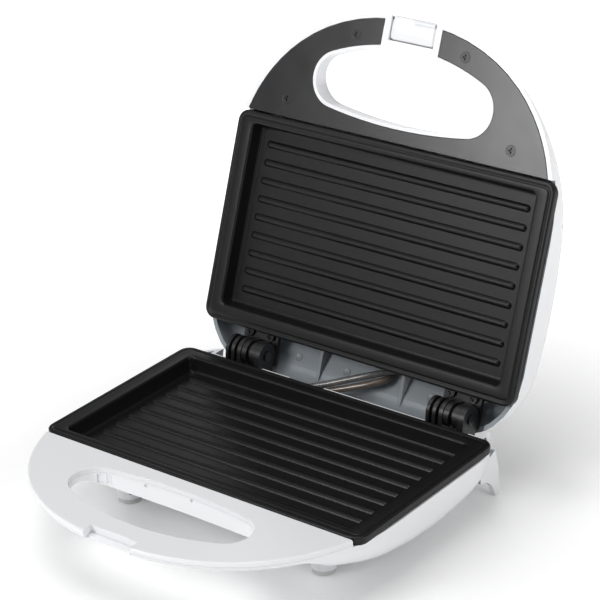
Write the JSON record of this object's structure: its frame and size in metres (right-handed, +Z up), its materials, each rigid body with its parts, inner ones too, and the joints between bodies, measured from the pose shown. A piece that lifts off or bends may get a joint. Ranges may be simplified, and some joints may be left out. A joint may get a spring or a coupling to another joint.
{
  "type": "sandwich toaster",
  "caption": "Countertop sandwich toaster, lid open: white moulded halves with looped handles, ribbed non-stick plates, rear hinges and a swinging latch clip.",
  "frame": {"origin": "centre of the bounding box on the table surface, with the lid open at its stop", "axes": "+Z up, +Y from the handles towards the hinge, +X to the right along the hinge"},
  "size_m": [0.2198, 0.286, 0.2411],
  "materials": {
    "housing_white": "smooth moulded gloss white",
    "cover_black": "satin black heat-resistant moulding",
    "nonstick": "dark non-stick coating on die-cast aluminium",
    "pan_steel": "pressed aluminised sheet",
    "element_steel": "heat-tinted element sheath",
    "hinge_black": "black glass-filled moulding",
    "pin_steel": "ground steel",
    "screw_dark": "blackened screw",
    "screw_bright": "zinc-plated screw",
    "rubber_grey": "moulded rubber",
    "lens_red": "clear red lens",
    "lens_green": "clear green lens",
    "lamp_glass": "small neon bulb",
    "board_tan": "phenolic board",
    "sleeve_dark": "varnished glass-fibre sleeve",
    "sleeve_brown": "varnished glass-fibre sleeve",
    "block_white": "steatite terminal block"
  },
  "bodies": {
    "base": {"base_housing": "housing_white", "handle_cover": "housing_white", "handle_cover_screws": "screw_bright", "cord_gland": "rubber_grey", "front_feet": "rubber_grey", "lower_plate": "nonstick", "lower_reflector": "pan_steel", "lower_reflector_screws": "screw_bright", "lower_element": "element_steel", "thermal_fuse": "pin_steel", "terminal_block": "block_white", "base_hinge_left": "hinge_black", "base_hinge_right": "hinge_black", "base_hinge_screws": "screw_dark", "hinge_pin_left": "pin_steel", "hinge_pin_right": "pin_steel", "jumper_lead_live": "sleeve_dark", "jumper_lead_neutral": "sleeve_brown"},
    "lid": {"lid_housing": "housing_white", "lid_inner_cover": "cover_black", "inner_cover_screws": "screw_dark", "upper_plate": "nonstick", "upper_reflector": "pan_steel", "upper_reflector_screws": "screw_bright", "upper_element": "element_steel", "thermostat": "pin_steel", "lid_terminal_block": "block_white", "lid_hinge_left": "hinge_black", "lid_hinge_right": "hinge_black", "lid_hinge_screws": "screw_dark", "red_lens": "lens_red", "green_lens": "lens_green", "neon_lamps": "lamp_glass", "lamp_board": "board_tan", "latch_pin": "pin_steel"},
    "clip": {"latch": "housing_white"}
  },
  "joints": [
    {"name": "lid_hinge", "type": "hinge", "parent": "base", "child": "lid", "pos_m": [0, 0.06722, 0.0438], "axis": [1, 0, 0], "range_deg": [0, 110], "deforming": ["jumper_lead_live", "jumper_lead_neutral"]},
    {"name": "latch_swing", "type": "hinge", "parent": "lid", "child": "clip", "pos_m": [0, 0.14027, 0.23835], "axis": [1, 0, 0], "range_deg": [-120, 0]}
  ]
}
